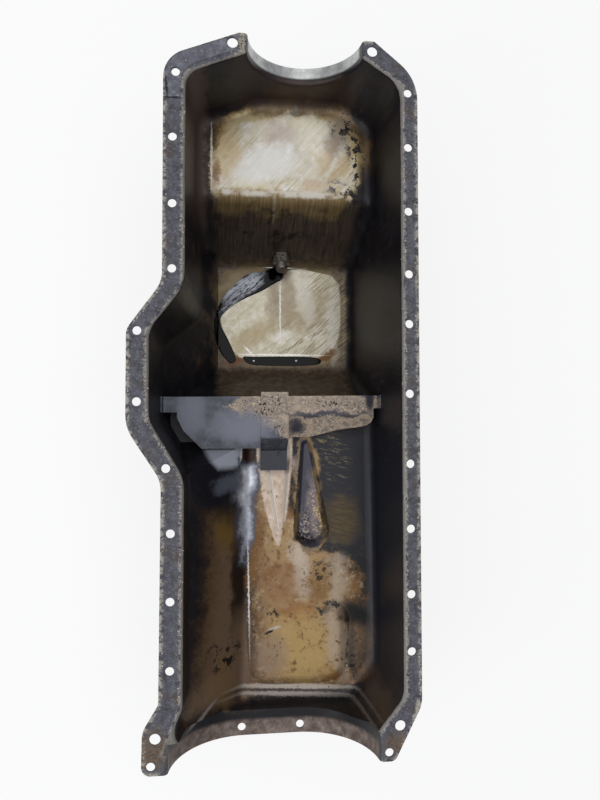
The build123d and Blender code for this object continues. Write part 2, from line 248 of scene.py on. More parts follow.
def roughen(kit, value, noise, amount):
    """Adds a noise to a value, as much up as down."""
    raised = maths(kit["tree"], "MULTIPLY_ADD", kit[noise], 2.0 * amount, value)
    return maths(kit["tree"], "SUBTRACT", raised, amount)


# %% Stains and fields
def soft_ellipse(kit, centre, radii, turn, soft, ground="drift"):
    """1 inside an ellipse, with a soft edge. Millimetres and degrees."""
    cos, sin = math.cos(math.radians(turn)), math.sin(math.radians(turn))
    square = 0.0
    for (a, b), radius in zip(((cos, sin), (-sin, cos)), radii):
        start = -(centre[0] * a + centre[1] * b) / radius
        for part, slope in zip(kit[ground], (a / radius, b / radius)):
            start = maths(kit["tree"], "MULTIPLY_ADD", part, slope, start)
        square = maths(kit["tree"], "MULTIPLY_ADD", start, start, square)
    return above(kit, square, (1 + soft) ** 2, (1 - soft) ** 2)


def inside_of(kit, rows, ground="drift"):
    """How many mm a point lies inside a field. Rows go up in Y: (Y, left X, right X)."""
    tree = kit["tree"]
    low_y, high_y = rows[0][0], rows[-1][0]
    low_x, high_x = min(row[1] for row in rows), max(row[2] for row in rows)
    along, across = (
        add(tree, "ShaderNodeMapRange", {0: kit[ground][n], 1: low, 2: high}, clamp=False)[0]
        for n, low, high in ((1, low_y, high_y), (0, low_x, high_x)))
    gaps = []
    for side in (1, 2):
        curve = add(tree, "ShaderNodeFloatCurve", {"Value": along})[0]
        points = curve.node.mapping.curves[0].points
        spots = [((row[0] - low_y) / (high_y - low_y), (row[side] - low_x) / (high_x - low_x))
                 for row in rows]
        points[0].location, points[1].location = spots[0], spots[-1]
        for spot in spots[1:-1]:
            points.new(*spot)
        for point in points:
            point.handle_type = "VECTOR"
        curve.node.mapping.update()
        ends = (across, curve)
        first, second = ends if side == 1 else ends[::-1]
        gaps.append(maths(tree, "SUBTRACT", first, second))
    nearer = maths(tree, "MINIMUM", gaps[0], gaps[1])
    nearer = maths(tree, "MULTIPLY", nearer, high_x - low_x)
    middle = maths(tree, "SUBTRACT", along, 0.5)
    middle = maths(tree, "ABSOLUTE", middle)
    from_end = maths(tree, "SUBTRACT", 0.5, middle)
    from_end = maths(tree, "MULTIPLY", from_end, high_y - low_y)
    return maths(tree, "MINIMUM", nearer, from_end)


def field(kit, rows, soft, ragged, ground="drift"):
    """1 inside a field; its edge is soft mm wide and its speckle moves it by ragged mm."""
    depth = roughen(kit, inside_of(kit, rows, ground), "speckle", ragged)
    return above(kit, depth, -soft, soft)


# %% Films and the finished shader
EVEN_STOPS = (0.3, 0.5, 0.7)       # noise values of a dark, a middle and a light tone


def film(kit, share, colour, gloss=None, metal=None):
    """Lays one more film over the finish. Gloss is roughness; a colour is hex or a socket."""
    tree = kit["tree"]
    top = linear(colour) if isinstance(colour, str) else colour
    under = kit.get("colour", linear("#000000"))
    kit["colour"] = add(tree, "ShaderNodeMix", {0: share, 6: under, 7: top}, data_type="RGBA")[2]
    for key, value, start in (("gloss", gloss, 0.5), ("metal", metal, 0.0)):
        if value is not None:
            kit[key] = add(tree, "ShaderNodeMix", {0: share, 2: kit.get(key, start), 3: value})[0]


def patches(kit, share, noise, low, high, *looks):
    """A film on the part of a share where a noise is above some value."""
    film(kit, both(kit, share, above(kit, noise, low, high)), *looks)


def tone(kit, noise, stops):
    """A colour from a noise, or a named one. Stops are (noise value, hex) or three plain hexes."""
    noise = kit[noise] if isinstance(noise, str) else noise
    if isinstance(stops[0], str):
        stops = list(zip(EVEN_STOPS, stops))
    ramp = add(kit["tree"], "ShaderNodeValToRGB", {0: noise})[0]
    elements = ramp.node.color_ramp.elements
    for element, (value, colour) in zip(elements, (stops[0], stops[-1])):
        element.position, element.color = value, linear(colour)
    for value, colour in stops[1:-1]:
        elements.new(value).color = linear(colour)
    return ramp


def shore(kit, rows, stops, ragged, gloss, metal):
    """Fills a field with bands that follow its edge; stops are (mm inside the edge, hex)."""
    depth = roughen(kit, inside_of(kit, rows), "speckle", ragged)
    depth = roughen(kit, depth, "mottle", ragged)
    first, last = stops[0][0], stops[-1][0]
    share = above(kit, depth, first, stops[1][0])
    inward = add(kit["tree"], "ShaderNodeMapRange", {0: depth, 1: first, 2: last})[0]
    bands = [((millimetres - first) / (last - first), colour) for millimetres, colour in stops]
    film(kit, share, tone(kit, inward, bands), gloss, metal)
    return share


def stains_and_shadows(kit, rows):
    """Stains, and painted shadows: rows of (hex, strength, centre, radii, turn, soft)."""
    for colour, strength, centre, radii, turn, soft in rows:
        share = maths(kit["tree"], "MULTIPLY", soft_ellipse(kit, centre, radii, turn, soft), strength)
        film(kit, share, colour)


def marks_and_glints(kit, rows, ground="waver"):
    """Painted glints and shadows, cracks and scratches: rows of (hex, gloss, metal, centre, radii,
    turn, soft).
    """
    for colour, gloss, metal, centre, radii, turn, soft in rows:
        film(kit, soft_ellipse(kit, centre, radii, turn, soft, ground), colour, gloss, metal)


def relief(kit, noise, millimetres):
    """Adds the height of a noise, or of a named one, to the finish's relief."""
    noise = kit[noise] if isinstance(noise, str) else noise
    height = kit.get("height", 0.0)
    kit["height"] = maths(kit["tree"], "MULTIPLY_ADD", noise, millimetres * 0.001, height)


def finish(kit, *names, shine=0.5):
    """Wires the finish to a shader and gives it to the CAD nodes named."""
    tree = kit["tree"]
    bumps = add(tree, "ShaderNodeBump", {"Height": kit["height"], "Strength": 1.0, "Distance": 1.0})
    shader = add(tree, "ShaderNodeBsdfPrincipled", {
        "Base Color": kit["colour"], "Roughness": kit["gloss"], "Metallic": kit["metal"],
        "Specular IOR Level": shine, "Normal": bumps[0]})
    add(tree, "ShaderNodeOutputMaterial", {"Surface": shader[0]})
    for name in names:
        slots = nodes[name].data.materials
        slots.clear()
        slots.append(kit["material"])
    print(kit["material"].name, "has", len(tree.nodes), "nodes, on", names)


# %% [markdown]
# ## The pan's steel: walls
#
# Pressed low-carbon steel is bright when new. Years of hot oil leave a brown-black film on it
# that is nearly as smooth as paint, so the walls are dark and only softly glossy. The film
# thins in vertical runs, where the brown steel shows through.

# %% Oil film on the walls
steel = start_finish("oiled_pressed_steel")
runs = streaks(steel, (4, 4, 34))
facing = add(steel["tree"], "ShaderNodeNewGeometry")["Normal"]
facing = add(steel["tree"], "ShaderNodeSeparateXYZ", {0: facing})[2]
film(steel, 1.0, tone(steel, "cloud", ["#101015", "#17171d", "#212129"]), 0.42, 0.2)
patches(steel, above(steel, runs, 0.5, 0.72), "cloud", 0.42, 0.6, "#3a2d26", 0.5)
# painted reflection: a brown streak down the left rear wall
film(steel, soft_ellipse(steel, (-92, 262), (10, 60), 0, 0.6), "#54453f", 0.5)

# %% [markdown]
# ## The pan's steel: rear floor
#
# Oil splashed by the crank keeps the middle of the shallow floor clean, down to bare metal with
# slanting scratches. Around it the oil has baked to an olive and gold varnish. The bands of
# colour follow the varnish's edge: black-brown, gold, straw, then grey metal.

# %% Rear floor
scratches = streaks(steel, (26, 0.8, 26), 48)
brushed = streaks(steel, (34, 5, 34), 52)
downward = streaks(steel, (2.2, 30, 30))
rear_gold = [(216, -74, 76), (238, -80, 90), (262, -80, 94), (283, -79, 92), (296, -76, 84),
             (304, -68, 78), (310, -54, 72), (316, -38, 66), (322, -20, 58)]
shore(steel, rear_gold, [(-9, "#17130f"), (-3, "#32261a"), (4, "#5f4c2f"), (10, "#8b7853"),
                         (18, "#ab9c79")], 5, 0.42, 0.4)
rear_bright = [(222, -72, 72), (238, -75, 78), (256, -75, 79), (271, -71, 74), (286, -62, 66),
               (295, -46, 60), (303, -24, 54), (309, -6, 30)]
bare = tone(steel, "mottle", ["#a3987c", "#b6b0a2", "#cfccc6"])
rear_clean = shore(steel, rear_bright, [(-7, "#a8946a"), (0, "#b4a688"), (7, "#bcb298"),
                                        (17, "#b9b3a4")], 4, 0.36, 0.5)
patches(steel, field(steel, rear_bright, 9, 5), "cloud", 0.4, 0.58, bare)
patches(steel, rear_clean, scratches, 0.52, 0.78, "#d2cfc9")
patches(steel, rear_clean, scratches, 0.46, 0.22, "#8f8370")
patches(steel, rear_clean, brushed, 0.56, 0.84, "#a08a5c")

# %% Small stains of the rear floor
stains_and_shadows(steel, [
    ("#5f3416", 0.8, (-73, 244), (3.5, 12), 0, 0.8),  # rust by the left edge
    ("#a58a52", 0.5, (-60, 264), (11, 20), 0, 0.9),
    ("#9c7d45", 0.55, (48, 268), (5, 17), -28, 0.9),  # tea-coloured runs on the right
    ("#9c7d45", 0.55, (61, 252), (5, 18), -32, 0.9),
    ("#a4876a", 0.5, (34, 236), (10, 5), 0, 0.9),
    ("#a4958f", 0.6, (-6, 289), (12, 10), 0, 0.8),  # faint mauve
    ("#d0d0d0", 0.6, (-20, 256), (30, 14), 25, 0.8),
    ("#cfc9ba", 0.5, (34, 285), (12, 20), 10, 0.8),
    ("#75645f", 0.6, (60, 292), (9, 17), -18, 0.9),  # mauve run from the saddle
    ("#4b3d38", 0.6, (2, 321), (44, 8), 0, 0.9),
    ("#67625a", 0.8, (10, 313), (3.5, 4), 0, 0.6),
    ("#15131a", 0.95, (92, 230), (8, 22), 0, 0.5),
])
# painted highlight on the fillet along the rear floor's left edge
film(steel, soft_ellipse(steel, (-78.5, 260), (1.2, 34), 0, 0.25, "waver"), "#b0aba3", 0.35, 0.5)
crackle = above(steel, "mottle", 0.5, 0.54)
for centre, radii, turn in (((80, 268), (8, 36), 6), ((72, 224), (20, 10), -20),
                            ((66, 300), (14, 10), 0)):
    film(steel, both(steel, soft_ellipse(steel, centre, radii, turn, 0.7), crackle), "#121016", 0.35)

# %% [markdown]
# ## The pan's steel: ridge and rear slope
#
# The bend between floor and slope carries a painted highlight. Below it, the varnish has run
# straight down the slope, and the slope is darker towards the sump.

# %% Ridge and slope
slope_rows = [(163, -72, 80), (185, -74, 82), (217, -78, 84)]
slope_tone = tone(steel, downward, [(0.3, "#332b25"), (0.5, "#473d34"), (0.75, "#5e5143")])
film(steel, field(steel, slope_rows, 7, 4), slope_tone, 0.45, 0.3)
golden_rows = [(206, -70, 60), (214, -74, 66), (225, -72, 70)]
golden_tone = tone(steel, downward, [(0.25, "#624e31"), (0.5, "#7d6947"), (0.8, "#988563")])
film(steel, field(steel, golden_rows, 5, 4), golden_tone, 0.42, 0.4)
# painted highlight along the ridge, broken up by the cloud noise
ridge_rows = [(220, -66, 58), (222.5, -68, 66), (226, -66, 60)]
ridge_highlight = field(steel, ridge_rows, 1.6, 2.0, "waver")
patches(steel, ridge_highlight, "cloud", 0.36, 0.52, "#b4aea4", 0.36, 0.45)
film(steel, soft_ellipse(steel, (-10, 213), (1.4, 9), 0, 0.7, "waver"), "#948a74", 0.4, 0.45)
# patches of the cloud noise; here darker at the foot of the slope
cloud_patches = above(steel, "cloud", 0.5, 0.66)
film(steel, both(steel, soft_ellipse(steel, (-20, 196), (60, 16), 0, 0.6), cloud_patches), "#211a17", 0.45)

# %% [markdown]
# ## The pan's steel: sump
#
# The lowest floor was wiped by the last drain. It is the brightest metal in the pan, crossed by
# slanting scratches, and its right side fades out in hatching. Brown stains lie in the trough
# that leads to the drain. The walls around it are black-brown.

# %% Sump floor
sump_dark = [(-10, -70, 80), (20, -72, 82), (60, -76, 84), (150, -76, 84), (172, -72, 78)]
sump_tone = tone(steel, "mottle", ["#392f28", "#5a4c3f", "#7a6956"])
film(steel, field(steel, sump_dark, 7, 4), sump_tone, 0.42, 0.3)
for centre, radii in (((-84, 120), (12, 46)), ((-80, 60), (14, 26))):
    film(steel, both(steel, soft_ellipse(steel, centre, radii, 0, 0.6), cloud_patches), "#4a3c31", 0.45)
sump_halo = [(43, -44, 56), (52, -54, 70), (70, -62, 78), (100, -70, 78), (130, -78, 78),
             (156, -66, 72), (168, -40, 56)]
film(steel, field(steel, sump_halo, 4, 3), "#6a5b40", 0.42, 0.35)
hatch = streaks(steel, (20, 0.95, 20), 40, 2.0)
hatch_rows = [(46, 50, 78), (60, 60, 84), (140, 60, 85), (160, 50, 78)]
patches(steel, field(steel, hatch_rows, 6, 3), hatch, 0.44, 0.62, "#8a7f63", 0.4, 0.45)
sump_bright = [(54, -46, 52), (62, -54, 66), (78, -62, 75), (89, -67, 77), (102, -70, 78),
               (113, -63, 78), (127, -42, 78), (137, -19, 77), (147, -2, 76), (157, 10, 66),
               (163, 14, 34)]
sump_clean = field(steel, sump_bright, 1.6, 1.2, "mm")
sump_metal = tone(steel, "mottle", ["#a69d86", "#b9b19d", "#cbc6ba"])
film(steel, sump_clean, sump_metal, 0.36, 0.5)
cuts = both(steel, sump_clean, above(steel, hatch, 0.54, 0.32))
film(steel, both(steel, cuts, soft_ellipse(steel, (40, 84), (52, 30), 40, 0.6)), "#6f6147", 0.4)
film(steel, both(steel, cuts, soft_ellipse(steel, (60, 130), (30, 44), 0, 0.6)), "#807457", 0.4)
patches(steel, sump_clean, scratches, 0.52, 0.7, "#cfcbc0")

# %% Small stains of the sump
stains_and_shadows(steel, [
    ("#82735f", 0.65, (-5, 126), (6, 27), 0, 0.8),  # brown beside the trough's fold
    ("#82715c", 0.65, (13, 126), (7, 27), 0, 0.8),
    ("#8f7f62", 0.6, (40, 112), (25, 14), 40, 0.9),
    ("#d6d3cc", 0.6, (5, 80), (11, 5), 0, 0.9),
    ("#cdcac3", 0.45, (34, 128), (9, 22), 10, 0.9),
    ("#cfccc5", 0.4, (69, 96), (5, 34), 0, 0.9),
    ("#8f7d54", 0.6, (-28, 80), (26, 10), 35, 0.8),
    ("#69431f", 0.9, (61, 57), (11, 3.6), 25, 0.5),  # rust at the bottom edge
    ("#5f3a1c", 0.9, (-50, 48), (10, 4), 0, 0.5),
    ("#7d7056", 0.85, (-56, 146), (18, 5), 38, 0.6),
])
marks_and_glints(steel, [
    ("#d2cec5", 0.32, 0.5, (3.4, 112), (0.8, 33), 0, 0.6),  # painted highlight on the fold of the trough
    ("#dcdad6", 0.3, 0.5, (6, 57.6), (45, 0.8), 0, 0.5),  # painted highlight along the front bend
    ("#d5d3ce", 0.3, 0.5, (-34, 61), (8, 1.1), -45, 0.6),  # glint by the oil
])

# %% [markdown]
# ## The pan's steel: front floor
#
# The front floor is the shallow end of the pan. Varnish the colour of tea and tan covers its
# middle, the left side is washed by dark oil, and the right side is blue-black. The two pressed
# shapes, a raised wedge and a sunk channel, catch the light on their edges.

# %% Front floor grounds
bay_rows = [(-312, -104, -58), (-292, -98, -40), (-255, -92, -38), (-206, -86, -38),
            (-167, -82, -40), (-145, -84, -44), (-113, -84, -62)]
shore(steel, bay_rows, [(-10, "#19161a"), (0, "#32251e"), (9, "#57432f"), (20, "#685341")],
      6, 0.42, 0.25)
front_tan = [(-308, -44, 40), (-300, -40, 76), (-285, -38, 88), (-257, -37, 90), (-235, -37, 82),
             (-214, -37, 84), (-194, -37, 84), (-172, -38, 70), (-151, -38, 44), (-120, -40, 6),
             (-60, -38, 0)]
shore(steel, front_tan, [(-9, "#17141a"), (0, "#33251b"), (6, "#5d4630"), (15, "#836847"),
                         (28, "#957a55")], 7, 0.42, 0.35)
floor_share = field(steel, front_tan, 9, 6)
patches(steel, floor_share, "mottle", 0.5, 0.72, "#a59274", 0.4)
patches(steel, floor_share, "cloud", 0.48, 0.34, "#76532f", 0.42)
blue_rows = [(-160, 44, 99), (-110, 44, 99), (-40, 30, 99)]
film(steel, field(steel, blue_rows, 6, 5), "#171821", 0.36, 0.2)

# %% Stains of the front floor
stains_and_shadows(steel, [
    ("#6d4a20", 0.85, (-34, -170), (8, 30), -12, 0.6),  # golden brown left of the wedge
    ("#6a5226", 0.85, (-60, -131), (11, 19), 0, 0.7),
    ("#1c1311", 0.95, (-50, -200), (8, 44), 0, 0.5),  # oil run
    ("#b8aba0", 0.65, (17, -178), (8, 24), 0, 0.9),  # rubbed columns
    ("#a09890", 0.45, (57, -188), (8, 24), 0, 0.9),
    ("#7d5f38", 0.8, (37, -194), (11, 14), 0, 0.8),
    ("#83613f", 0.75, (-6, -196), (16, 16), 0, 0.8),
    ("#7c5026", 0.85, (12, -226), (18, 8), 0, 0.6),
    ("#1d1512", 0.8, (46, -222), (9, 5), 10, 0.5),
    ("#a88c57", 0.85, (18, -262), (28, 26), 0, 0.8),
    ("#86705f", 0.75, (-16, -270), (14, 18), 0, 0.8),
    ("#a2978d", 0.5, (57, -258), (9, 30), 8, 0.9),
    ("#33302f", 0.9, (72, -268), (4.5, 26), 5, 0.6),
    ("#54453a", 0.75, (88, -262), (11, 34), 0, 0.7),
    ("#3f321d", 0.9, (63, -131), (17, 21), 0, 0.7),  # gold bloom
    ("#121218", 0.95, (52, -160), (24, 5), 0, 0.6),
    ("#6b5536", 0.6, (-66, -288), (12, 18), 0, 0.9),
    ("#675342", 0.85, (-46, -266), (11, 36), 0, 0.7),
])
patches(steel, floor_share, "mottle", 0.46, 0.3, "#6a4c2e", 0.42)
patches(steel, floor_share, "speckle", 0.56, 1.0, "#c0b095", 0.42)
film(steel, soft_ellipse(steel, (78, -231), (17, 10), -25, 0.7), "#0f0d10")    # black hollow
grit = above(steel, "mottle", 0.52, 0.58)
for centre, radii, colour in (((46, -222), (12, 8), "#0f0c0d"), ((-14, -226), (10, 7), "#17110e"),
                              ((74, -282), (8, 12), "#131013"), ((-64, -262), (14, 12), "#17110f"),
                              ((36, -188), (14, 12), "#2a1d12")):
    film(steel, both(steel, soft_ellipse(steel, centre, radii, 0, 0.7), grit), colour)
feathers = streaks(steel, (13, 2.4, 13), -12, 4.0)
plume = soft_ellipse(steel, (58, -130), (15, 20), 0, 0.8)
patches(steel, plume, feathers, 0.42, 0.72, "#58482a", 0.4, 0.3)
smear = both(steel, soft_ellipse(steel, (50, -62), (14, 24), 25, 0.9), above(steel, feathers, 0.5, 0.72),
             above(steel, "speckle", 0.4, 0.56))
film(steel, smear, "#857856", 0.4, 0.3)
# painted bluish-black sheen on the right wall
film(steel, soft_ellipse(steel, (106, -190), (11, 130), 0, 0.6), "#1c1e27", 0.4)

# %% Wedge and channel
wedge_rows = [(-156, -9, -5), (-140, -14, -2), (-120, -20, 3), (-76, -29, 8), (-22, -31, 10)]
wedge_tone = tone(steel, "mottle", ["#a28d7b", "#b8a594", "#cabfb3"])
wedge = field(steel, wedge_rows, 1.3, 1.6, "mm")
film(steel, wedge, wedge_tone, 0.38, 0.4)
patches(steel, wedge, facing, 0.99, 0.9, "#e6dbcd", 0.38, 0.3)     # painted light on its sides, which lean away from the lamps
film(steel, soft_ellipse(steel, (-4, -70), (13, 8), 0, 0.8), "#93837a")
channel_rim = [(-163, 20, 35), (-153, 13, 42), (-110, 11, 42), (-76, 11, 38), (-50, 16, 33),
               (-36, 20, 28)]
film(steel, field(steel, channel_rim, 2.2, 3.0), "#86704e", 0.4, 0.35)
channel_rows = [(-160, 20, 34), (-148, 15, 42), (-110, 14, 38), (-76, 14, 33), (-50, 18, 29),
                (-42, 21, 26)]
film(steel, field(steel, channel_rows, 2.0, 2.4), "#3c3b46", 0.34, 0.35)
light_dots = above(steel, "speckle", 0.52, 0.6)
stains_and_shadows(steel, [
    # painted shadow at the channel's front end
    ("#18161b", 0.95, (24, -149), (12, 5), 0, 0.5),
    ("#71666a", 0.8, (32, -118), (5, 26), 4, 0.8),
])
for centre, radii, turn, colour in (((36, -122), (5, 22), 5, "#b09a78"),
                                    ((22, -136), (5, 14), 0, "#9a8a80")):
    film(steel, both(steel, soft_ellipse(steel, centre, radii, turn, 0.8), light_dots), colour, 0.36, 0.4)

# %% Wet side of the front floor
film(steel, soft_ellipse(steel, (-62, -84), (24, 34), 20, 0.7), "#17171d", 0.3, 0.2)
# painted reflection on the wet metal below the baffle, with painted highlights along its top and
# right edges
pocket_rows = [(-72, -70, -49), (-62, -79, -47), (-50, -86, -44)]
film(steel, field(steel, pocket_rows, 4.5, 1.0, "mm"), "#b6bac6", 0.3, 0.3)
marks_and_glints(steel, [("#f0f2f6", 0.25, 0.3, (-46.4, -60), (0.9, 9), -8, 0.6),
                   ("#eceef2", 0.25, 0.3, (-62, -50), (14, 0.8), 0, 0.6)], "mm")
film(steel, soft_ellipse(steel, (-38, -62), (5, 14), 0, 0.6), "#2a1612", 0.4)
# painted highlight on the wet metal: bands that grow lighter inward, and a paler patch reaching
# left at its upper end
wet_rows = [(-172, -45, -41), (-150, -47, -38), (-120, -49, -35), (-90, -51, -31), (-70, -48, -30)]
shore(steel, wet_rows, [(-7, "#1f1f26"), (-1, "#51525c"), (4, "#a3a6b1"), (8, "#d3d6df")],
      1.0, 0.25, 0.4)
film(steel, soft_ellipse(steel, (-58, -88), (11, 8), 10, 0.9), "#565a65", 0.3, 0.3)
marks_and_glints(steel, [
    ("#b9b6b4", 0.3, 0.5, (-38, -210), (0.7, 50), 1, 0.6),  # painted highlight along the wet fold
    ("#a39e94", 0.3, 0.5, (-11, -241), (5, 1.2), 15, 0.8),  # painted highlight and painted shadow of a nick
    ("#0e0c0c", 0.4, None, (-17, -245), (4.5, 1.2), 25, 0.6),
])

# %% Front end: the floor turns up to the saddle
end_rows = [(-345, -90, 88), (-325, -80, 88), (-316, -70, 86)]
film(steel, field(steel, end_rows, 2.5, 1.5), "#131115", 0.4, 0.2)
# painted highlights along the bends where the floor turns up, a dark line between them, and one
# across the left front corner
marks_and_glints(steel, [
    ("#a1998f", 0.36, 0.35, (10, -303), (44, 2.0), -3, 0.9),
    ("#857e77", 0.36, 0.35, (8, -310), (48, 1.5), -3, 0.9),
    ("#37322d", 0.36, 0.35, (8, -306.5), (46, 0.8), -3, 0.9),
    ("#7d7774", 0.36, 0.35, (-84, -312), (12, 1.2), 38, 0.9),
])

# %% [markdown]
# ## The pan's steel: rail, saddles and outside
#
# The rail was scraped, not cleaned: grey gasket film covers it, with a paler crust along both
# edges and bare metal where the rail turns down. The rear saddle, where the rope seal sat, is
# bare steel. The outside, which the road and the engine bay see, is plain dark steel under
# baked dirt.

# %% Rail
rail_outer = [(-342, -137, 96), (-303, -137, 116), (-279, -122.4, 122), (-78, -121.2, 122),
              (-30, -153.2, 122), (60.5, -153.2, 122), (105, -121.2, 122), (309, -121.2, 122),
              (318, -118, 118), (344, -51, 80)]
rail_inner = [(-323, -117.5, 73.5), (-284, -100.8, 104.9), (-76, -100.4, 105), (-22, -132.6, 105),
              (60, -132.9, 105), (102, -100.6, 105), (303, -100.6, 105.4), (331, -31, 63)]
from_outside = inside_of(steel, rail_outer, "mm")
from_hollow = inside_of(steel, rail_inner, "mm")
on_rail = above(steel, "z", -2.6, -1.2)
film(steel, on_rail, tone(steel, "mottle", [(0.3, "#35343a"), (0.45, "#4d4d55"),
                                                   (0.6, "#5d5e67"), (0.75, "#77777c")]), 0.7, 0.1)
patches(steel, on_rail, "cloud", 0.54, 0.66, "#544b48", 0.75)
patches(steel, on_rail, "speckle", 0.52, 0.7, "#77767a", 0.75)
patches(steel, on_rail, "grain", 0.5, 0.3, "#3a3a3e", 0.75)
for depth, start, end, where in ((from_outside, 4.5, 1.0, 0.46), (from_hollow, -5.5, -1.0, 0.42)):
    crust = above(steel, roughen(steel, depth, "speckle", 5.0), start, end)
    patchy = above(steel, "mottle", where, where + 0.08)
    film(steel, both(steel, on_rail, crust, patchy), "#a39d93", 0.85, 0.0)
patches(steel, on_rail, from_hollow, -3.0, -1.4, "#7c7874", 0.5, 0.3)
rusty = above(steel, "speckle", 0.42, 0.56)
for centre, radii, colour in (
        ((-128, -318), (14, 16), "#6f5a46"), ((100, -326), (14, 10), "#6f5a46"),
        ((-48, 330), (12, 10), "#a1988a"), ((-103, -322), (9, 10), "#4a484b")):
    film(steel, both(steel, on_rail, soft_ellipse(steel, centre, radii, 0, 0.5), rusty), colour, 0.8)

# %% Saddles
SEAL_X = 12.6
off_seal = maths(steel["tree"], "SUBTRACT", steel["x"], SEAL_X)
seal_square = both(steel, off_seal, off_seal)
seal_square = maths(steel["tree"], "MULTIPLY_ADD", steel["z"], steel["z"], seal_square)
rear_band = both(steel, above(steel, "y", 331, 334), above(steel, "z", -8, -14),
                 above(steel, seal_square, 60 ** 2, 57.5 ** 2))
saddle_tone = tone(steel, "mottle", [(0.3, "#9c9c99"), (0.7, "#cfd1d1")])
film(steel, rear_band, saddle_tone, 0.32, 0.6)
front_band = both(steel, above(steel, "y", -324, -329), above(steel, "z", -3, -8))
arch_tone = tone(steel, "mottle", ["#463b38", "#6b5d56", "#8a7d76"])
film(steel, front_band, arch_tone, 0.6, 0.25)

# %% Outside
outside_tone = tone(steel, "cloud", ["#1d1b1b", "#2d2a29", "#4a4039"])
film(steel, above(steel, facing, 0.02, -0.02), outside_tone, 0.55, 0.3)
relief(steel, scratches, 0.04)
relief(steel, "speckle", 0.12)
relief(steel, "mottle", 0.25)
finish(steel, "pan_shell", shine=0.35)

# %% [markdown]
# ## Baffle and strap
#
# The baffle is thinner sheet, blued by heat and oil on the left, with tan specks of dried
# varnish towards the right. Clusters of black grit lie in the varnish, and the strap that
# crosses it is darker where it stands lower.

# %% Baffle steel
baffle = start_finish("oil_blued_sheet_steel")
film(baffle, 1.0, tone(baffle, "mottle", ["#393b42", "#484a53", "#5a5b65"]), 0.4, 0.35)
tan_rows = [(-44, 6, 92), (-26, -24, 97), (-10, -60, 97), (2, -44, 95), (12, -34, 20)]
varnished = field(baffle, tan_rows, 7, 8)
film(baffle, varnished, "#7d726c", 0.45)
patches(baffle, varnished, "mottle", 0.4, 0.6, "#a09181", 0.5, 0.25)
patches(baffle, varnished, "speckle", 0.48, 0.62, "#baa890", 0.5, 0.25)
patches(baffle, varnished, "grain", 0.45, 0.3, "#5f5651", 0.5, 0.2)
black_grit = above(baffle, "speckle", 0.5, 0.54)
grit_patches = above(baffle, "mottle", 0.46, 0.52)
for centre, radii in (((-34, -12), (9, 15)), ((-20, -6), (22, 10)), ((48, -5), (26, 6)),
                      ((84, -8), (8, 8)), ((-8, -33), (8, 5))):
    share = both(baffle, soft_ellipse(baffle, centre, radii, 0, 0.6), black_grit, grit_patches)
    film(baffle, share, "#15121a", 0.4)
film(baffle, soft_ellipse(baffle, (44, -16.5), (38, 2.0), 0, 0.7), "#3f3c45", 0.4)
film(baffle, soft_ellipse(baffle, (12, -30), (8, 7), 0, 0.6), "#33323d", 0.4)
film(baffle, soft_ellipse(baffle, (90, -2), (4, 9), 0, 0.5, "mm"), "#24252f", 0.4)
film(baffle, soft_ellipse(baffle, (-99, -14), (13, 18), 0, 0.8), "#5f616d", 0.35)
# painted highlight on the plate, left of the strap
film(baffle, soft_ellipse(baffle, (-44, -30), (24, 12), 0, 0.9), "#686a76", 0.35)
low_strap = both(baffle, above(baffle, "y", -52, -55), above(baffle, "x", -27, -25.5),
                 above(baffle, "x", 4, 3))
film(baffle, low_strap, "#33343b", 0.4)
relief(baffle, "grain", 0.04)
relief(baffle, "speckle", 0.1)
finish(baffle, "baffle_plate", "baffle_strap", shine=0.35)

# %% [markdown]
# ## Drain: bung, plug and washer
#
# The bung is a steel weld nut, black with oil, with one facet wiped clean. The plug is a hex
# screw with a 1/2 inch shank that has 20 threads to the inch.

# %% Bung
bung = start_finish("oiled_weld_nut_steel")
film(bung, 1.0, tone(bung, "speckle", [(0.3, "#131113"), (0.5, "#262321"), (0.75, "#4f4a44")]),
     0.35, 0.4)
patches(bung, above(bung, "z", -166, -163), "speckle", 0.4, 0.5, "#8a837a", 0.35, 0.5)
relief(bung, "speckle", 0.12)
finish(bung, "drain_bung")

# %% Plug and washer
plug = start_finish("zinc_plated_plug_steel")
film(plug, 1.0, tone(plug, "speckle", [(0.3, "#4a453e"), (0.5, "#77716a"), (0.75, "#9d968a")]),
     0.38, 0.7)
film(plug, above(plug, "mottle", 0.52, 0.66), "#4f3d2d", 0.6, 0.2)
relief(plug, "speckle", 0.05)
finish(plug)
washer = start_finish("pressed_brass_washer")
film(washer, 1.0, tone(washer, "speckle", [(0.3, "#5f4a26"), (0.5, "#8d7440"), (0.75, "#b3985c")]),
     0.38, 0.8)
relief(washer, "speckle", 0.05)
finish(washer, "drain_plug_washer")

# %% [markdown]
# ## The plug's thread
#
# In the solids the shank is a plain cylinder. Here the head keeps its shape and the shank gets
# its real thread, a right-handed helix cut inward from the same 12.7 mm, so that it shows when
# the plug is turned out.

# %% Threaded plug
PITCH = 25.4 / 20
SHANK_RADIUS = 6.35
THREAD_DEPTH = 0.78
SHANK_END, UNDER_COLLAR = -19.9, 3.1      # places along the axis, outwards from the wall's inside
TIP_CHAMFER = 1.2
ROUND_STEPS = 48
ROWS_PER_PITCH = 8

turn_joint = frame["record"]["behaviour"]["joints"][1]
axis = Vector(turn_joint["axis"]).normalized()
centre = 1000 * Vector(turn_joint["pos_m"])
across = Vector((1, 0, 0))
upward = axis.cross(across)


def on_plug(along, radius, angle):
    """A point in metres from its place along the axis, its radius and its angle."""
    out = math.cos(angle) * across + math.sin(angle) * upward
    return (centre + along * axis + radius * out) / 1000


